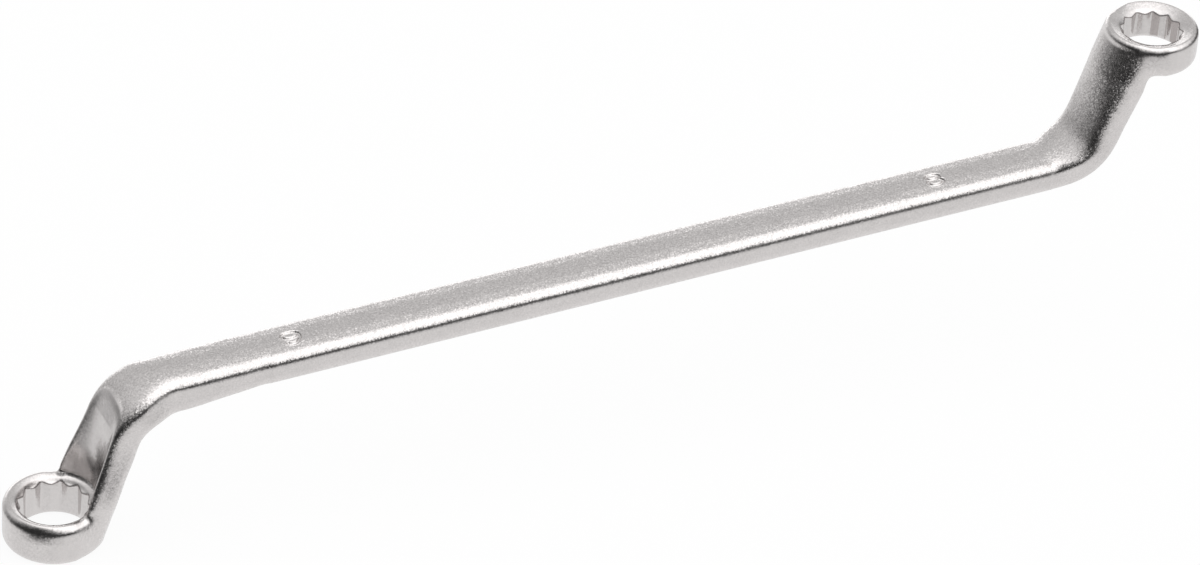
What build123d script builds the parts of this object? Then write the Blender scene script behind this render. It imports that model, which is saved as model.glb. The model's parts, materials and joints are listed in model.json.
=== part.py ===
from build123d import *
import math
import os
from collections import namedtuple

os.makedirs("parts", exist_ok=True)

# A double-ended ring spanner for 8 mm and 9 mm nuts, drop-forged in one piece.
# Both ring axes stand along Z. The 9 mm ring lies low at -X and faces down, the
# 8 mm ring lies high at +X and faces up, and the cranked shank joins them.
# Lengths are in millimetres, angles in degrees.

# Sockets: two hexagons thirty degrees apart, broached right through each ring
socket_9_flats = 9.08
socket_8_flats = 8.08
hexagon_sides = 6
half_turn = 180
corner_share = 0.03
mouth_margin = 0.24
mouth_angle = 41.0

# Rings
ring_9_rim = 1.82
ring_8_rim = 2.04
ring_9_height = 6.55
ring_8_height = 5.25
ring_9_edge = 1.23
ring_8_free_edge = 0.83
ring_8_inner_edge = 1.27
handle_share = 0.45

# Crank: places along the spanner, from one ring axis to the other
ring_spacing = 170.5
neck_root_9 = 2.66
neck_root_8 = 2.89
crank_9 = 22.7
crank_8 = 21.25
neck_angle = 70.35
shank_rise = 1.87
bend_radius = 9.0

# Forged section: flat flanks, rolled edges and crowned faces. Outer and inner
# are the distances from the spine to the faces on the two sides of the bends.
shank_width = 8.25
shank_thickness = 5.25
shank_edge = 1.55
shank_crown = 0.55
neck_9_width = 10.5
neck_9_outer = 2.49
neck_9_inner = 2.74
neck_8_width = 10.2
neck_8_outer = 2.45
neck_8_inner = 2.45
neck_crown = 0.65
neck_inner_edge = 1.0
root_9_width = 12.4
root_9_inner = 3.64
root_9_crown = 2.35
root_8_width = 11.3
root_8_inner = 3.35
root_8_crown = 2.25
root_inner_edge = 1.75
outer_crown = 0.15
outer_edge = 0.80
flare_length = 6.5

# Swelling on the hollow side of the bend at the 9 mm end, begun on the shank
swell_height = 1.0
swell_run = 14.0
swell_crest = 1.0
swell_end = 9.5
station_spacing = 3.2

# Relief scooped out of the outer face of each neck, so that the socket is clear
relief_climb = 17.0
relief_reach = 9.2
relief_top_half_width = 4.0
relief_top_depth = 0.5

cut_overrun = 2.0

socket_9_corner = socket_9_flats / 2 / math.cos(math.pi / hexagon_sides)
socket_8_corner = socket_8_flats / 2 / math.cos(math.pi / hexagon_sides)
mouth_9_radius = socket_9_corner + mouth_margin
mouth_8_radius = socket_8_corner + mouth_margin
ring_9_radius = mouth_9_radius + ring_9_rim
ring_8_radius = mouth_8_radius + ring_8_rim
lean = math.tan(math.radians(neck_angle))
rise = math.tan(math.radians(shank_rise))

# Each face of the forging has its distance from the spine, its crown and the roll of its edges
Form = namedtuple("Form", "width outer outer_crown outer_edge inner inner_crown inner_edge")
shank_face = (shank_thickness / 2, shank_crown, shank_edge)
shank_form = Form(shank_width, *shank_face, *shank_face)
neck_9_face = (neck_9_outer, outer_crown, outer_edge)
neck_8_face = (neck_8_outer, outer_crown, outer_edge)
neck_9_form = Form(neck_9_width, *neck_9_face, neck_9_inner, neck_crown, neck_inner_edge)
neck_8_form = Form(neck_8_width, *neck_8_face, neck_8_inner, neck_crown, neck_inner_edge)
root_9_form = Form(root_9_width, *neck_9_face, root_9_inner, root_9_crown, root_inner_edge)
root_8_form = Form(root_8_width, *neck_8_face, root_8_inner, root_8_crown, root_inner_edge)


def smooth(share):
    """Share from nought to one with a level start and a level end."""
    return (1 - math.cos(math.pi * share)) / 2


def forged_section(form, top_is_outer, plane):
    """Outline of the forging square to its spine, with the width along x."""
    outer = (form.outer, form.outer_crown, form.outer_edge)
    inner = (form.inner, form.inner_crown, form.inner_edge)
    top, top_crown, top_edge = outer if top_is_outer else inner
    bottom, bottom_crown, bottom_edge = inner if top_is_outer else outer
    flank = form.width / 2
    with BuildSketch(plane) as sketch:
        with BuildLine():
            Line((flank, bottom_crown - bottom), (flank, top - top_crown))
            ThreePointArc((flank, top - top_crown), (0, top), (-flank, top - top_crown))
            Line((-flank, top - top_crown), (-flank, bottom_crown - bottom))
            ThreePointArc((-flank, bottom_crown - bottom), (0, -bottom), (flank, bottom_crown - bottom))
        make_face()
        fillet(sketch.vertices().group_by(Axis.Y)[-1], top_edge)
        fillet(sketch.vertices().group_by(Axis.Y)[0], bottom_edge)
    return sketch.sketch


def along(path, share):
    """Plane square to the path at a share of its length, its x across the width."""
    return Plane(origin=path.position_at(share), x_dir=(0, 1, 0), z_dir=path.tangent_at(share))


def between(first, second, share):
    """Form part of the way from one to another."""
    return Form(*(start + (end - start) * share for start, end in zip(first, second)))


def swelling(distance):
    """Height of the swelling at a distance past the start of the bend."""
    if distance < swell_crest:
        return swell_height * smooth((distance + swell_run) / (swell_crest + swell_run))
    return swell_height * smooth(max(swell_end - distance, 0) / (swell_end - swell_crest))


def crank(path, run, bend_length, root_length, neck, root, shank_end):
    """Bend and neck of one end, growing smoothly from the shank's section to the root's.

    The run is how far the path follows the shank before the bend begins.
    """
    stations = []
    count = round(path.length / station_spacing)
    for index in range(count + 1):
        share = index / count
        distance = abs(share - shank_end) * path.length - run
        turned = smooth(min(max(distance / bend_length, 0), 1))
        rooted = smooth(min(max(distance - bend_length, 0) / (root_length - bend_length), 1))
        form = between(between(shank_form, neck, turned), root, rooted)
        flared = shank_width + (neck.width - shank_width) * smooth(min(max(distance / flare_length, 0), 1))
        width = flared + (root.width - flared) * rooted
        inner = form.inner + (swelling(distance) if run else 0)
        form = form._replace(width=width, inner=inner)
        stations.append(forged_section(form, shank_end == 1, along(path, share)))
    return sweep(sections=stations, path=path, multisection=True)


# Spine of the forging, from the free face of one ring to the free face of the other
corner_9_x = neck_root_9 + crank_9 / lean
corner_8_x = ring_spacing - neck_root_8 - crank_8 / lean
corner_8_z = crank_9 + (corner_8_x - corner_9_x) * rise
overall_height = corner_8_z + crank_8
overrun_x = cut_overrun / lean
spine = FilletPolyline(
    (neck_root_9 - overrun_x, 0, -cut_overrun),
    (corner_9_x, 0, crank_9),
    (corner_8_x, 0, corner_8_z),
    (ring_spacing - neck_root_8 + overrun_x, 0, overall_height + cut_overrun),
    radius=bend_radius,
)
neck_9, bend_9, straight, bend_8, neck_8 = spine.edges().sort_by(Axis.X)
run_share = swell_run / straight.length
path_9 = Wire([neck_9, bend_9, straight.trim(0, run_share)])
path_8 = Wire([bend_8, neck_8])
neck_sine = math.sin(math.radians(neck_angle))
root_9_length = path_9.length - swell_run - (cut_overrun + ring_9_height) / neck_sine
root_8_length = path_8.length - (cut_overrun + ring_8_height) / neck_sine
rest = straight.trim(run_share, 1)
shank = extrude(forged_section(shank_form, True, along(rest, 0)), rest.length)
crank_9_solid = crank(path_9, swell_run, bend_9.length, root_9_length, neck_9_form, root_9_form, 1)
crank_8_solid = crank(path_8, 0, bend_8.length, root_8_length, neck_8_form, root_8_form, 0)
forging = shank + crank_9_solid + crank_8_solid


def ring_blank(radius, height, free_edge, inner_edge, base):
    """Solid ring head with both face edges rolled, its free face on the base plane."""
    low = free_edge * handle_share
    high = inner_edge * handle_share
    top = height - inner_edge
    inner_flat = radius - inner_edge
    with BuildSketch(Plane.XZ) as profile:
        with BuildLine():
            Polyline((inner_flat, height), (0, height), (0, 0), (radius - free_edge, 0))
            Bezier((radius - free_edge, 0), (radius - low, 0), (radius, low), (radius, free_edge))
            Line((radius, free_edge), (radius, top))
            Bezier((radius, top), (radius, height - high), (radius - high, height), (inner_flat, height))
        make_face()
    return base * revolve(profile.sketch, Axis.Z)


def relief(radius, height, base):
    """Scoop above a ring's inner face, narrower and shallower as it climbs the neck."""
    foot = base * Pos(0, 0, height) * Rot(0, 0, half_turn / 2) * Circle(radius)
    top = Ellipse(relief_top_depth, relief_top_half_width)
    top = base * Pos(relief_reach - relief_top_depth, 0, height + relief_climb) * top
    return loft([foot, top], ruled=True)


def socket_hole(flats, corner, height, base):
    """Twelve-point hole broached through a ring."""
    hexagon = RegularPolygon(flats / 2, hexagon_sides, major_radius=False)
    points = hexagon + Rot(0, 0, half_turn / hexagon_sides) * hexagon
    outer = [v for v in points.vertices() if Vector(v.X, v.Y, 0).length > corner * (1 - corner_share)]
    points = fillet(outer, flats * corner_share)
    return base * Pos(0, 0, -cut_overrun) * extrude(points, amount=height + 2 * cut_overrun)


def lead_ins(mouth, height, base):
    """Cones that open both mouths of a socket so that it finds the nut."""
    slope = math.tan(math.radians(mouth_angle))
    wide = mouth + cut_overrun
    free_side = Cone(wide, 0, wide * slope, align=(Align.CENTER, Align.CENTER, Align.MIN))
    neck_side = Cone(0, mouth, mouth * slope, align=(Align.CENTER, Align.CENTER, Align.MAX))
    return [base * Pos(0, 0, -cut_overrun * slope) * free_side, base * Pos(0, 0, height) * neck_side]


base_9 = Plane.XY
base_8 = Plane(origin=(ring_spacing, 0, overall_height), x_dir=(-1, 0, 0), z_dir=(0, 0, -1))

# The necks stop inside the rings, above the rolled edges of the free faces
slab_height = overall_height - ring_9_edge - ring_8_free_edge
slab = Pos(ring_spacing / 2, 0, ring_9_edge) * Box(
    2 * ring_spacing, 2 * ring_spacing, slab_height, align=(Align.CENTER, Align.CENTER, Align.MIN)
)
solid = forging & slab
solid = solid + ring_blank(ring_9_radius, ring_9_height, ring_9_edge, ring_9_edge, base_9)
solid = solid + ring_blank(ring_8_radius, ring_8_height, ring_8_free_edge, ring_8_inner_edge, base_8)
solid = solid - relief(ring_9_radius - ring_9_edge, ring_9_height, base_9)
solid = solid - relief(ring_8_radius - ring_8_inner_edge, ring_8_height, base_8)
solid = solid - socket_hole(socket_9_flats, socket_9_corner, ring_9_height, base_9)
solid = solid - socket_hole(socket_8_flats, socket_8_corner, ring_8_height, base_8)
cones = lead_ins(mouth_9_radius, ring_9_height, base_9)
cones += lead_ins(mouth_8_radius, ring_8_height, base_8)
for cone in cones:
    solid = solid - cone
export_step(solid, "parts/spanner.step")
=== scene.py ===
import json
import math

import bmesh
import bpy
import numpy as np
from mathutils import Matrix, Vector

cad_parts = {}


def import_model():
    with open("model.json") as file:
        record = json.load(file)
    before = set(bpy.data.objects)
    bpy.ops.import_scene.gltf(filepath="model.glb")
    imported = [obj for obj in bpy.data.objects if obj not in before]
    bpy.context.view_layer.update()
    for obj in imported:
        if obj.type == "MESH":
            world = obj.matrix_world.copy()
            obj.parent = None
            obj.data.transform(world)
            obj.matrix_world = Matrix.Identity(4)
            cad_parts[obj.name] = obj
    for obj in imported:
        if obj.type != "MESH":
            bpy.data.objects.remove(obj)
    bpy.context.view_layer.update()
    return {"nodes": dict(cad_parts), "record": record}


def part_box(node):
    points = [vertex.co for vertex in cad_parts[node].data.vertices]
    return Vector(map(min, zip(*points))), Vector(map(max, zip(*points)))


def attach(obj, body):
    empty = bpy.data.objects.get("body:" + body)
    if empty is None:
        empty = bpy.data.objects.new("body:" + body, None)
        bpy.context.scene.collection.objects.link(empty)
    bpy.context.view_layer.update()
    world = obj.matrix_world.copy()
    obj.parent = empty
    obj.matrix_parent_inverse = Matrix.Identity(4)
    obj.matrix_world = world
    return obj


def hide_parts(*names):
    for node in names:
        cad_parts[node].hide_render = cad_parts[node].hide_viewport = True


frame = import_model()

MM = 0.001
SPANNER = frame["nodes"]["spanner"]
LOW, HIGH = (np.array(corner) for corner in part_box("spanner"))
MOUNTS = {mount["name"]: mount for mount in frame["record"]["mounts"]}
RING_9 = np.array(MOUNTS["ring_9_socket"]["pos_m"])
RING_8 = np.array(MOUNTS["ring_8_socket"]["pos_m"])
RING_9_HEIGHT = 6.55 * MM
RING_8_HEIGHT = 5.25 * MM
RING_9_RADIUS = 7.302 * MM
RING_8_RADIUS = 6.945 * MM


def smoothstep(low, high, values):
    """Nought below low, one above high, smooth between."""
    share = np.clip((values - low) / (high - low), 0, 1)
    return share * share * (3 - 2 * share)


# Body: a copy of the forging, with its sharp joins blended as a drop forging's are
BODY_NAME = "spanner_body"
VOXEL = 0.16 * MM
WELD_METRES = 1e-7
WEIGHT_STEPS = 50
RELAX = 0.5

# Rounds of relaxing for each zone, and how much of it the sockets are spared
EDGE_ROUNDS, JOIN_ROUNDS, RIDGE_ROUNDS, OUTER_ROUNDS, CROWN_ROUNDS = 8, 160, 24, 120, 260
SOCKET_SPARED = 0.75

# How far off a level or a radius a point may lie and still be taken to be on it
SLACK = 0.05 * MM


def welded_copy(source):
    """New mesh with the source's surface as one closed skin."""
    work = bmesh.new()
    work.from_mesh(source.data)
    bmesh.ops.remove_doubles(work, verts=work.verts, dist=WELD_METRES)
    mesh = bpy.data.meshes.new(BODY_NAME)
    work.to_mesh(mesh)
    work.free()
    return mesh


def apply_modifiers(piece):
    """Swap the piece's mesh for the one that its modifiers make."""
    graph = bpy.context.evaluated_depsgraph_get()
    mesh = bpy.data.meshes.new_from_object(piece.evaluated_get(graph))
    piece.modifiers.clear()
    old = piece.data
    piece.data = mesh
    mesh.name = BODY_NAME
    bpy.data.meshes.remove(old)


def coordinates(mesh):
    """All vertex places as an array of rows."""
    flat = np.empty(len(mesh.vertices) * 3, np.float32)
    mesh.vertices.foreach_get("co", flat)
    return flat.reshape(-1, 3).astype(float)


def weigh(piece, name, weights):
    """Vertex group with one weight for each vertex, set in even steps."""
    group = piece.vertex_groups.new(name=name)
    steps = np.round(weights * WEIGHT_STEPS).astype(int)
    for step in range(1, WEIGHT_STEPS + 1):
        found = np.nonzero(steps == step)[0]
        if len(found):
            group.add(found.tolist(), step / WEIGHT_STEPS, "REPLACE")


def smooth(piece, name, weights, rounds):
    """Relax the surface where the weights allow it."""
    weigh(piece, name, weights)
    relax = piece.modifiers.new(name, "SMOOTH")
    relax.factor = RELAX
    relax.iterations = rounds
    relax.vertex_group = name
    apply_modifiers(piece)
    piece.vertex_groups.clear()


def from_axis(place, ring):
    """How far each point is from a ring's axis."""
    return np.hypot(place[:, 0] - ring[0], place[:, 1] - ring[1])


# Zones of the body. A pair says where a zone fades in or out, and is in millimetres without an MM.

# Sockets: by distance from the axis, and by height past the face on the neck's side
MOUTH_9 = (5.6 * MM, 6.0 * MM)
MOUTH_8 = (5.05 * MM, 5.4 * MM)
MOUTH_OVER = (0.1 * MM, 0.6 * MM)


def socket_share(place):
    """One inside the sockets and on the ring faces' mouths, nought away from them."""
    near, far = MOUTH_OVER
    face_9 = RING_9_HEIGHT
    face_8 = RING_8[2] - RING_8_HEIGHT
    low_9 = 1 - smoothstep(face_9 + near, face_9 + far, place[:, 2])
    high_8 = smoothstep(face_8 - far, face_8 - near, place[:, 2])
    inside_9 = (1 - smoothstep(*MOUTH_9, from_axis(place, RING_9))) * low_9
    inside_8 = (1 - smoothstep(*MOUTH_8, from_axis(place, RING_8))) * high_8
    return np.maximum(inside_9, inside_8)


# Joins: along the spanner from the ring's axis, out from the middle, and up from the free face
JOIN_START, JOIN_END = (0.5 * MM, 2.0 * MM), (6.5 * MM, 8.5 * MM)
JOIN_OUT = (4.6 * MM, 5.4 * MM)
JOIN_TOP = (6.0 * MM, 8.0 * MM)


def join_share(place):
    """One along the upright joins of the necks' flanks and the rings' walls."""
    total = np.zeros(len(place))
    for ring, side, along in ((RING_9, 1, 1), (RING_8, -1, -1)):
        x = (place[:, 0] - ring[0]) * along
        z = (place[:, 2] - ring[2]) * side
        y = np.abs(place[:, 1])
        here = smoothstep(*JOIN_START, x) * (1 - smoothstep(*JOIN_END, x))
        here *= smoothstep(*JOIN_OUT, y) * (1 - smoothstep(*JOIN_TOP, z))
        total = np.maximum(total, here)
    return total


RIDGE_BOTTOM, RIDGE_TOP = (13.0, 19.0), (25.0, 28.0)
RIDGE_OUT = (4.9, 5.2)
RIDGE_END = (14.0, 17.0)


def ridge_share(place):
    """One along the upper end of the scoop in the 9 mm neck, whose brow is broad and soft."""
    x, y, z = place[:, 0] / MM, np.abs(place[:, 1]) / MM, place[:, 2] / MM
    here = smoothstep(*RIDGE_BOTTOM, z) * (1 - smoothstep(*RIDGE_TOP, z))
    return here * (1 - smoothstep(*RIDGE_OUT, y)) * (1 - smoothstep(*RIDGE_END, x))


# A point on each neck's middle line, and how steeply both lines rise
NECK_9_POINT = (10.8, 22.7)
NECK_8_POINT = (160.5, 28.0)
NECK_LEAN = 2.8


def over_neck(x, z, point):
    """Height over a neck's middle line."""
    return (z - point[1]) - (x - point[0]) * NECK_LEAN


OUTER_OVER = (-3.0, -1.0)
OUTER_BEND = (24.0, 25.0)
OUTER_END = (14.0, 26.0)
OUTER_NECK, OUTER_NECK_LEAST = (9.0, 18.0), 0.15
OUTER_FOOT = (6.6, 9.0)


def outer_share(place):
    """One on the outer face of the 9 mm end's bend, whose edges roll widely, less down the neck."""
    x, z = place[:, 0] / MM, place[:, 2] / MM
    outer = smoothstep(*OUTER_OVER, over_neck(x, z, NECK_9_POINT))
    above = smoothstep(*OUTER_BEND, z)
    along = 1 - smoothstep(*OUTER_END, x)
    down = OUTER_NECK_LEAST + (1 - OUTER_NECK_LEAST) * smoothstep(*OUTER_NECK, z)
    down *= smoothstep(*OUTER_FOOT, z)
    return np.maximum(outer, above) * along * down


CROWN_OVER = (-0.5, 1.0)
CROWN_BOTTOM, CROWN_TOP = (29.5, 32.5), (41.0, 43.0)
CROWN_START = (151.0, 155.0)


def crown_share(place):
    """One on the upper side of the 8 mm neck, which is crowned right across."""
    x, z = place[:, 0] / MM, place[:, 2] / MM
    upper = smoothstep(*CROWN_OVER, over_neck(x, z, NECK_8_POINT))
    upper = upper * smoothstep(*CROWN_BOTTOM, z) * (1 - smoothstep(*CROWN_TOP, z))
    return upper * smoothstep(*CROWN_START, x)


# Scoop of the 9 mm neck: an oval half that climbs back from the ring, as the CAD cuts it
SCOOP_FOOT_HEIGHT, SCOOP_CLIMB, SCOOP_BACK = 6.55, 17.0, 8.7
SCOOP_FOOT_REACH, SCOOP_TOP_REACH, SCOOP_TOP_HALF_WIDTH = 6.07, 0.5, 4.0
SCOOP_BOTTOM, SCOOP_TOP = 6.75, 23.4
SCOOP_OFF = (0.25, 0.45)


def scoop_share(place):
    """One on the scooped face, nought off it, and each point's place across and up the scoop."""
    x, y, z = (place[:, axis] / MM for axis in range(3))
    climb = np.clip((z - SCOOP_FOOT_HEIGHT) / SCOOP_CLIMB, 0, 1)
    middle = SCOOP_BACK * climb
    reach = SCOOP_FOOT_REACH + (SCOOP_TOP_REACH - SCOOP_FOOT_REACH) * climb
    half = SCOOP_FOOT_REACH + (SCOOP_TOP_HALF_WIDTH - SCOOP_FOOT_REACH) * climb
    across = np.clip(np.abs(y) / half, 0, 1)
    gap = np.abs(x - middle - reach * np.sqrt(1 - across ** 2))
    on = (1 - smoothstep(*SCOOP_OFF, gap)) * (z > SCOOP_BOTTOM) * (z < SCOOP_TOP)
    return on * (np.abs(y) < half), across, climb, reach


FILL_MOST, FILL_OF_REACH, FILL_FALL = 0.85, 0.4, 1.5
FILL_CLIMB = (0.0, 0.65)


def shallower(place):
    """Fill the middle of the scoop, which is milled flatter than a cone."""
    on, across, climb, reach = scoop_share(place)
    fill = np.minimum(FILL_MOST, FILL_OF_REACH * reach) * smoothstep(*FILL_CLIMB, climb)
    place[:, 0] -= on * (fill * (1 - across ** 2) ** FILL_FALL) * MM


WALL_OFF = 0.2 * MM
WALL_9_TOP = (3.0 * MM, 4.6 * MM)
WALL_8_EXTRA = 1 * MM
WALL_WORKED = 0.75


def wall_share(place):
    """How far the turned walls of the rings are worked."""
    on_9 = np.abs(from_axis(place, RING_9) - RING_9_RADIUS) < WALL_OFF
    on_8 = np.abs(from_axis(place, RING_8) - RING_8_RADIUS) < WALL_OFF
    near_9 = on_9 * (1 - smoothstep(*WALL_9_TOP, place[:, 2]))
    near_8 = on_8 * (place[:, 2] > HIGH[2] - RING_8_HEIGHT - WALL_8_EXTRA)
    return WALL_WORKED * np.maximum(near_9, near_8)


FACE_OFF = 0.1 * MM
FACE_9_FRONT = (-1.0 * MM, 1.0 * MM)
FACE_9_DEPTH, FACE_8_DEPTH = 0.7 * MM, 1.0 * MM
FACE_WORKED = 0.7


def face_share(place):
    """How far the rings' upper faces and the rolled edges round them are worked."""
    on_9 = from_axis(place, RING_9) < RING_9_RADIUS + FACE_OFF
    on_9 = on_9 * (place[:, 2] < RING_9_HEIGHT + FACE_OFF)
    front = 1 - smoothstep(*FACE_9_FRONT, place[:, 0])
    on_9 = on_9 * np.maximum(front, place[:, 2] > RING_9_HEIGHT - FACE_9_DEPTH)
    on_8 = from_axis(place, RING_8) < RING_8_RADIUS + FACE_OFF
    on_8 = on_8 * (place[:, 2] > HIGH[2] - FACE_8_DEPTH)
    return FACE_WORKED * np.maximum(on_9, on_8)


# Sinking of a ring's face: the distances from the axis where it starts and ends, and its depth.
# What lies further below the face than the room stays where it is.
SLOPE_9 = (6.35 * MM, 5.0 * MM, 0.55 * MM)
SLOPE_8 = (6.25 * MM, 4.9 * MM, 0.50 * MM)
SLOPE_ROOM = 2 * MM
SLOPE_MARGIN = 0.5 * MM


def sloped(place, ring, height, start, end, depth):
    """Sink a ring's upper face steadily inwards, from nought at the start to the full depth."""
    radius = from_axis(place, ring)
    floor_z = height - SLOPE_ROOM
    sunk = depth * np.clip((radius - start) / (end - start), 0, 1)
    scale = 1 - sunk / (height - floor_z)
    move = (place[:, 2] > floor_z) & (place[:, 2] < height + SLACK)
    move &= radius < start + SLOPE_MARGIN
    place[move, 2] = floor_z + (place[move, 2] - floor_z) * scale[move]


# The 9 mm ring's edge rolls this far inwards and down, most at one azimuth, in degrees
ROLL_IN, ROLL_DOWN = 1.25 * MM, 3.2 * MM
ROLL_AZIMUTH, ROLL_SPREAD = -128, 25


def rolled(place, ring, radius, height, share):
    """Round a ring's upper outer edge to a quarter of an ellipse, as far as the share says."""
    out = from_axis(place, ring)
    middle_r, middle_z = radius - ROLL_IN, height - ROLL_DOWN
    reach = np.hypot((out - middle_r) / ROLL_IN, (place[:, 2] - middle_z) / ROLL_DOWN)
    move = (out > middle_r) & (place[:, 2] > middle_z) & (reach > 1)
    move &= (place[:, 2] < height + SLACK) & (out < radius + SLACK)
    pull = 1 + (1 / reach[move] - 1) * share[move]
    new_out = middle_r + (out[move] - middle_r) * pull
    for axis in (0, 1):
        place[move, axis] = ring[axis] + (place[move, axis] - ring[axis]) * new_out / out[move]
    place[move, 2] = middle_z + (place[move, 2] - middle_z) * pull


def body():
    """The whole forging as one smooth skin that stands for the CAD solid."""
    piece = bpy.data.objects.new(BODY_NAME, welded_copy(SPANNER))
    bpy.context.scene.collection.objects.link(piece)
    skin = piece.modifiers.new("skin", "REMESH")
    skin.mode = "VOXEL"
    skin.voxel_size = VOXEL
    apply_modifiers(piece)
    inside = socket_share(coordinates(piece.data))
    smooth(piece, "edges", 1 - inside * SOCKET_SPARED, EDGE_ROUNDS)
    place = coordinates(piece.data)
    smooth(piece, "joins", join_share(place) * (1 - socket_share(place)), JOIN_ROUNDS)
    smooth(piece, "ridge", ridge_share(coordinates(piece.data)), RIDGE_ROUNDS)
    smooth(piece, "outer", outer_share(coordinates(piece.data)), OUTER_ROUNDS)
    smooth(piece, "crown", crown_share(coordinates(piece.data)), CROWN_ROUNDS)
    place = coordinates(piece.data)
    worked = np.maximum(socket_share(place), scoop_share(place)[0])
    worked = np.maximum(worked, wall_share(place))
    worked = np.maximum(worked, face_share(place))
    shallower(place)
    around = np.degrees(np.arctan2(place[:, 1], place[:, 0]))
    roll = np.exp(-((around - ROLL_AZIMUTH) / ROLL_SPREAD) ** 2)
    rolled(place, RING_9, RING_9_RADIUS, RING_9_HEIGHT, roll)
    sloped(place, RING_9, RING_9_HEIGHT, *SLOPE_9)
    sloped(place, RING_8, HIGH[2], *SLOPE_8)
    place = np.clip(place, LOW, HIGH)
    mark = piece.data.attributes.new("worked", "FLOAT", "POINT")
    mark.data.foreach_set("value", worked.astype(np.float32))
    stamp(piece, place)
    piece.data.shade_smooth()
    return piece


# Stamped sizes: an upright 9 and 8 on the top of the shank, read from the low front side
ARC_POINTS = 25


def arc(centre, radii, start, end):
    """Points along part of an ellipse, with its angles in degrees."""
    turn = np.radians(np.linspace(start, end, ARC_POINTS))
    x = centre[0] + radii[0] * np.cos(turn)
    y = centre[1] + radii[1] * np.sin(turn)
    return np.stack((x, y), 1)


NINE = (arc((0, 0.52), (1.30, 0.72), 0, 360), arc((-0.10, 0.40), (1.40, 1.62), 5, -120))
EIGHT = (arc((0, 0.66), (1.05, 0.55), 0, 360), arc((0, -0.56), (1.20, 0.66), 0, 360))
STAMPS = ((NINE, 35.1, -0.42), (EIGHT, 136.3, -0.40))
STAMP_HALF_LENGTH, STAMP_HALF_WIDTH = 1.9, 2.1
STAMP_DEPTH = 0.32
STAMP_CUTS = 2
FAR_OFF = 9.0

# Only points above this height whose normals rise at least this much are on the shank's top
SHANK_BOTTOM = 20 * MM
UPWARD = 0.5

# Each stroke is a broad dent with a sharper one in it, and a small lip pushed up beside it
STROKE = 0.50
BROAD_PART, SHARP_PART = 0.55, 0.45
SHARP_START, SHARP_END = STROKE * 0.25, STROKE * 0.62
LIP_AT, LIP_WIDTH, LIP_PART = STROKE * 0.75, 0.13, 0.12


def stroke_distance(points, strokes):
    """How far each point is from the nearest stroke, in millimetres."""
    nearest = np.full(len(points), FAR_OFF)
    for stroke in strokes:
        for first, second in zip(stroke, stroke[1:]):
            run = second - first
            share = np.clip(((points - first) @ run) / (run @ run), 0, 1)
            away = points - first - share[:, None] * run
            nearest = np.minimum(nearest, np.hypot(away[:, 0], away[:, 1]))
    return nearest


def on_stamp(point, normal, x, y):
    """Whether a point on the top of the shank is under the stamp at that place."""
    if abs(point.x / MM - x) >= STAMP_HALF_LENGTH or abs(point.y / MM - y) >= STAMP_HALF_WIDTH:
        return False
    return normal.z > UPWARD and point.z > SHANK_BOTTOM


def stamp(piece, place):
    """Move the body's points to their final places, and press the sizes in on a finer net."""
    work = bmesh.new()
    work.from_mesh(piece.data)
    work.verts.ensure_lookup_table()
    for vert, point in zip(work.verts, place):
        vert.co = point
    work.normal_update()
    for strokes, x, y in STAMPS:
        faces = [f for f in work.faces if on_stamp(f.calc_center_median(), f.normal, x, y)]
        edges = list({edge for face in faces for edge in face.edges})
        bmesh.ops.subdivide_edges(work, edges=edges, cuts=STAMP_CUTS, use_grid_fill=True)
        work.normal_update()
        verts = [vert for vert in work.verts if on_stamp(vert.co, vert.normal, x, y)]
        points = np.array([(vert.co.x / MM - x, vert.co.y / MM - y) for vert in verts])
        away = stroke_distance(points, strokes)
        broad = (1 - smoothstep(0.0, STROKE, away)) * BROAD_PART
        sharp = (1 - smoothstep(SHARP_START, SHARP_END, away)) * SHARP_PART
        lip = np.exp(-((away - LIP_AT) / LIP_WIDTH) ** 2) * LIP_PART
        for vert, depth in zip(verts, broad + sharp - lip):
            vert.co.z -= depth * STAMP_DEPTH * MM
    work.to_mesh(piece.data)
    work.free()


# Camera: the photograph's viewpoint, as fitted to the outline of the object
SENSOR, LENS = 36.0, 175.904
CLIP = (0.05, 10.0)
RIGHT = (0.909266, -0.412384, 0.056352)
UP = (0.198350, 0.548354, 0.812382)
BACK = (-0.365914, -0.727494, 0.580396)
EYE = (-224.968, -612.399, 512.147)


def camera():
    """A perspective camera at the fitted viewpoint."""
    data = bpy.data.cameras.new("camera")
    data.sensor_fit = "HORIZONTAL"
    data.sensor_width = SENSOR
    data.lens = LENS
    data.clip_start, data.clip_end = CLIP
    made = bpy.data.objects.new("camera", data)
    place = Matrix((RIGHT, UP, BACK)).transposed().to_4x4()
    place.translation = Vector(EYE) * MM
    made.matrix_world = place
    bpy.context.scene.collection.objects.link(made)
    bpy.context.scene.camera = made


# Node trees


def node(tree, kind, inputs=None, **settings):
    """A new shader node with its settings and input values."""
    made = tree.nodes.new(kind)
    for name, value in settings.items():
        setattr(made, name, value)
    for name, value in (inputs or {}).items():
        made.inputs[name].default_value = value
    return made


def filled(tree, made, values):
    """Output of a node whose first inputs are linked to sockets or set to plain values."""
    for socket, value in zip(made.inputs, values):
        if isinstance(value, bpy.types.NodeSocket):
            tree.links.new(value, socket)
        else:
            socket.default_value = value
    return made.outputs[0]


def maths(tree, operation, *values):
    """Output of a maths node on numbers."""
    return filled(tree, node(tree, "ShaderNodeMath", operation=operation), values)


def vector_maths(tree, operation, *values):
    """Output of a maths node on vectors."""
    return filled(tree, node(tree, "ShaderNodeVectorMath", operation=operation), values)


def scaled(tree, vector, factor):
    """A vector times a number."""
    made = node(tree, "ShaderNodeVectorMath", operation="SCALE")
    tree.links.new(vector, made.inputs[0])
    tree.links.new(factor, made.inputs["Scale"])
    return made.outputs[0]


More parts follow.
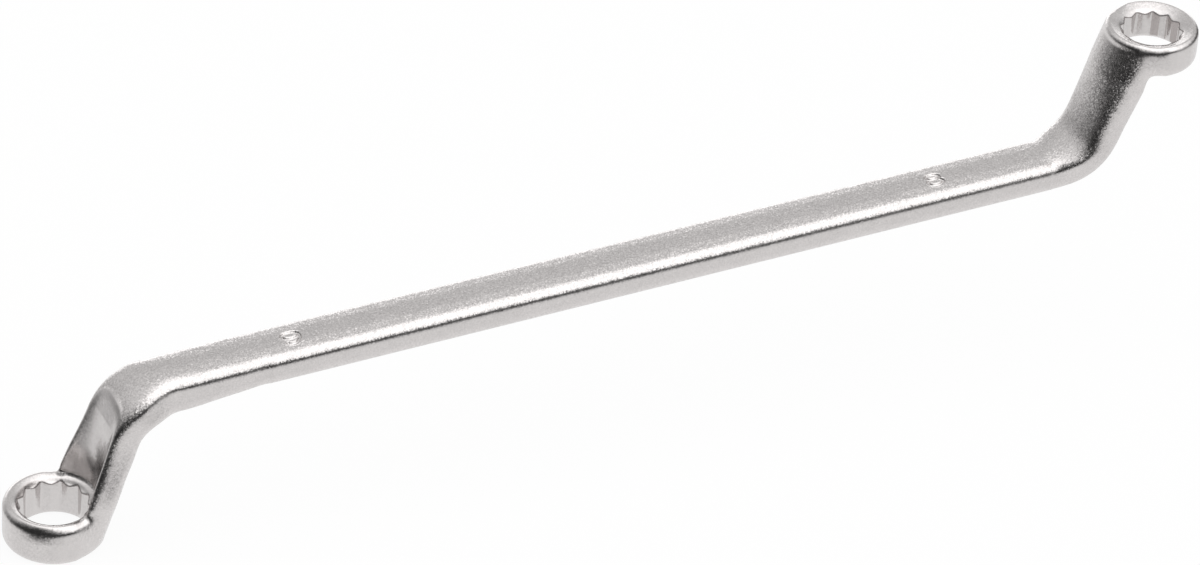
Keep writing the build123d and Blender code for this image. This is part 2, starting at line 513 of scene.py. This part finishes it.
def mapped(tree, value, source, target=(0.0, 1.0)):
    """A value carried from one range to another and held at its ends."""
    inputs = ("From Min", "From Max", "To Min", "To Max")
    made = node(tree, "ShaderNodeMapRange", dict(zip(inputs, (*source, *target))))
    tree.links.new(value, made.inputs["Value"])
    return made.outputs[0]


def noise(tree, place, scale, detail, roughness):
    """Grey noise, with its scale in features to the metre."""
    inputs = {"Scale": scale, "Detail": detail, "Roughness": roughness}
    made = node(tree, "ShaderNodeTexNoise", inputs)
    tree.links.new(place, made.inputs["Vector"])
    return made.outputs["Fac"]


def shader_mix(tree, share, first, second):
    """The first shader where the share is nought, the second where it is one."""
    return filled(tree, node(tree, "ShaderNodeMixShader"), (share, first, second))


def empty_tree(paint):
    """The node tree of a material or world, with nothing in it."""
    paint.use_nodes = True
    paint.node_tree.nodes.clear()
    return paint.node_tree


# Studio: pale below, with a broad soft light overhead and in front, and a white floor.
# Each row gives the brightness at each elevation, in hundredths, for one azimuth. Both are in
# degrees. Azimuth nought is past the 8 mm end, -90 is the front and 180 is past the 9 mm end.
ELEVATIONS = (-90, -45, -35, -25, -15, -5, 5, 15, 25, 35, 45, 55, 65, 75, 90)
STUDIO = {
    -180: (100, 93, 93, 68, 20, 3, 3, 6, 16, 32, 50, 85, 125, 155, 165),
    -135: (100, 96, 94, 65, 10, 2, 2, 2, 4, 18, 55, 120, 160, 165, 170),
    -105: (100, 98, 95, 70, 7, 2, 5, 20, 60, 95, 130, 160, 170, 175, 175),
    -70: (100, 98, 96, 78, 7, 3, 13, 105, 170, 175, 175, 175, 175, 175, 175),
    -45: (100, 99, 97, 90, 50, 45, 55, 100, 150, 170, 175, 175, 175, 175, 175),
    0: (100, 98, 95, 88, 45, 10, 8, 35, 75, 105, 120, 140, 160, 170, 170),
    32: (100, 98, 95, 88, 45, 8, 8, 40, 66, 72, 80, 100, 142, 162, 170),
    48: (100, 98, 95, 90, 105, 160, 160, 105, 68, 66, 70, 90, 135, 160, 170),
    85: (100, 98, 95, 92, 115, 190, 190, 110, 66, 64, 68, 78, 115, 150, 170),
    110: (100, 97, 94, 86, 75, 75, 65, 60, 64, 66, 74, 90, 120, 152, 169),
    135: (100, 96, 94, 80, 46, 40, 42, 54, 78, 84, 92, 110, 140, 155, 168),
    155: (100, 94, 93, 70, 26, 12, 12, 26, 44, 60, 76, 100, 125, 155, 166),
    180: (100, 93, 93, 68, 20, 3, 3, 6, 16, 32, 50, 85, 125, 155, 165),
}
WHITE = (1, 1, 1, 1)

# The sockets by which a Mix node takes and gives colours
MIX_FIRST, MIX_SECOND, MIX_RESULT = 6, 7, 2


def level_ramp(tree, height, levels):
    """Brightness by elevation, which comes as a share from straight down to straight up."""
    ramp = node(tree, "ShaderNodeValToRGB")
    elements = ramp.color_ramp.elements
    while len(elements) < len(levels):
        elements.new(0.5)
    for element, elevation, hundredths in zip(elements, ELEVATIONS, levels):
        level = hundredths / 100
        element.position = (elevation + 90) / 180
        element.color = (level, level, level, 1)
    tree.links.new(height, ramp.inputs[0])
    return ramp.outputs[0]


def world():
    """The studio's light, by direction only. The camera sees plain white instead."""
    made = bpy.data.worlds.new("studio")
    bpy.context.scene.world = made
    tree = empty_tree(made)
    link = tree.links.new
    place = node(tree, "ShaderNodeTexCoord")
    split = node(tree, "ShaderNodeSeparateXYZ")
    link(place.outputs["Generated"], split.inputs[0])
    rise = maths(tree, "ARCSINE", split.outputs["Z"])
    height = mapped(tree, rise, (-math.pi / 2, math.pi / 2))
    turn = maths(tree, "ARCTAN2", split.outputs["Y"], split.outputs["X"])
    azimuths = sorted(STUDIO)
    light = level_ramp(tree, height, STUDIO[azimuths[0]])
    for before, after in zip(azimuths, azimuths[1:]):
        mix = node(tree, "ShaderNodeMix", data_type="RGBA")
        link(mapped(tree, turn, (math.radians(before), math.radians(after))), mix.inputs["Factor"])
        link(light, mix.inputs[MIX_FIRST])
        link(level_ramp(tree, height, STUDIO[after]), mix.inputs[MIX_SECOND])
        light = mix.outputs[MIX_RESULT]
    shown = node(tree, "ShaderNodeBackground")
    link(light, shown.inputs["Color"])
    plain = node(tree, "ShaderNodeBackground", {"Color": WHITE})
    rays = node(tree, "ShaderNodeLightPath")
    mix = shader_mix(tree, rays.outputs["Is Camera Ray"], shown.outputs[0], plain.outputs[0])
    link(mix, node(tree, "ShaderNodeOutputWorld").inputs[0])


FLOOR_GREY = (0.9, 0.9, 0.9, 1)
FLOOR_WHITE_SHARE = 0.93
FLOOR_REACH = 3.0
FLOOR_DROP = -0.02 * MM


def floor():
    """White floor with a faint shadow. Mirror rays pass it and see the studio's pale lower half."""
    paint = bpy.data.materials.new("floor_white")
    tree = empty_tree(paint)
    dull = node(tree, "ShaderNodeBsdfDiffuse", {"Color": FLOOR_GREY})
    white = node(tree, "ShaderNodeEmission", {"Color": WHITE, "Strength": 1.0})
    rays = node(tree, "ShaderNodeLightPath")
    share = maths(tree, "MULTIPLY", rays.outputs["Is Camera Ray"], FLOOR_WHITE_SHARE)
    mix = shader_mix(tree, share, dull.outputs[0], white.outputs[0])
    tree.links.new(mix, node(tree, "ShaderNodeOutputMaterial").inputs[0])
    turns = ((-1, -1), (1, -1), (1, 1), (-1, 1))
    corners = [(x * FLOOR_REACH, y * FLOOR_REACH, FLOOR_DROP) for x, y in turns]
    mesh = bpy.data.meshes.new("floor")
    mesh.from_pydata(corners, [], [tuple(range(len(corners)))])
    mesh.materials.append(paint)
    made = bpy.data.objects.new("floor", mesh)
    bpy.context.scene.collection.objects.link(made)
    made.visible_glossy = False


# Finish: satin chrome. Noise is given as its scale, in features to the metre, detail and roughness
GRAIN = (1300.0, 3.0, 0.55)
CLOUDS = (300.0, 4.0, 0.6)
FLECKS = (3600.0, 1.0, 0.5)
CLOUD_SPAN = (0.3, 0.7)
DARK_CHROME, LIGHT_CHROME = (0.634, 0.610, 0.603, 1), (0.668, 0.642, 0.635, 1)
FLECK_SPAN, FLECK_CHANGE = (0.25, 0.75), (-0.16, 0.16)
GRAIN_SPAN, ROUGHNESS = (0.3, 0.7), (0.18, 0.25)
SWELL_DISTANCE = 0.02 * MM
FACET_SCALE, FACET_TILT, FACET_GLINTS = 6500.0, 0.040, 0.100
FLANK_SPAN, FLANK_RAW = (0.90, 0.985), 0.35
WORKED_RAW = 0.25


def raw_share(tree):
    """One on skin left as forged, low on worked faces and on the ground flanks."""
    shape = node(tree, "ShaderNodeNewGeometry")
    split = node(tree, "ShaderNodeSeparateXYZ")
    tree.links.new(shape.outputs["Normal"], split.inputs[0])
    side = maths(tree, "ABSOLUTE", split.outputs["Y"])
    flank = mapped(tree, side, FLANK_SPAN, (1.0, FLANK_RAW))
    worked = node(tree, "ShaderNodeAttribute", attribute_name="worked")
    skin = mapped(tree, worked.outputs["Fac"], (0.0, 1.0), (1.0, WORKED_RAW))
    return maths(tree, "MULTIPLY", flank, skin)


def facets(tree, place, normal):
    """Normal of a surface of tiny facets, each tilted at random and a few of them much more."""
    cells = node(tree, "ShaderNodeTexVoronoi", {"Scale": FACET_SCALE})
    tree.links.new(place, cells.inputs["Vector"])
    centred = vector_maths(tree, "MULTIPLY_ADD", cells.outputs["Color"], (2, 2, 2), (-1, -1, -1))
    squared = vector_maths(tree, "MULTIPLY", centred, centred)
    gain = vector_maths(tree, "MULTIPLY_ADD", squared, (FACET_GLINTS,) * 3, (FACET_TILT,) * 3)
    push = vector_maths(tree, "MULTIPLY", centred, gain)
    total = vector_maths(tree, "ADD", normal, scaled(tree, push, raw_share(tree)))
    return vector_maths(tree, "NORMALIZE", total)


def satin_chrome():
    """Satin chrome over a tumbled forging: sparkling facets, a soft grain and faint clouds."""
    paint = bpy.data.materials.new("satin_chrome")
    tree = empty_tree(paint)
    link = tree.links.new
    metal = node(tree, "ShaderNodeBsdfPrincipled", {"Metallic": 1.0})
    place = node(tree, "ShaderNodeTexCoord").outputs["Object"]
    grain = noise(tree, place, *GRAIN)
    tone = node(tree, "ShaderNodeValToRGB")
    ends = zip(tone.color_ramp.elements, CLOUD_SPAN, (DARK_CHROME, LIGHT_CHROME))
    for element, position, colour in ends:
        element.position = position
        element.color = colour
    link(noise(tree, place, *CLOUDS), tone.inputs[0])
    fleck = mapped(tree, noise(tree, place, *FLECKS), FLECK_SPAN, FLECK_CHANGE)
    change = maths(tree, "MULTIPLY_ADD", fleck, raw_share(tree), 1.0)
    link(scaled(tree, tone.outputs[0], change), metal.inputs["Base Color"])
    link(mapped(tree, grain, GRAIN_SPAN, ROUGHNESS), metal.inputs["Roughness"])
    swell = node(tree, "ShaderNodeBump", {"Strength": 1.0, "Distance": SWELL_DISTANCE})
    link(grain, swell.inputs["Height"])
    link(facets(tree, place, swell.outputs[0]), metal.inputs["Normal"])
    link(metal.outputs[0], node(tree, "ShaderNodeOutputMaterial").inputs[0])
    return paint


bpy.context.scene.view_settings.view_transform = "Standard"
camera()
world()
floor()
chrome = satin_chrome()
forging = body()
for piece in (forging, SPANNER):
    piece.data.materials.clear()
    piece.data.materials.append(chrome)
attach(forging, "root")
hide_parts("spanner")
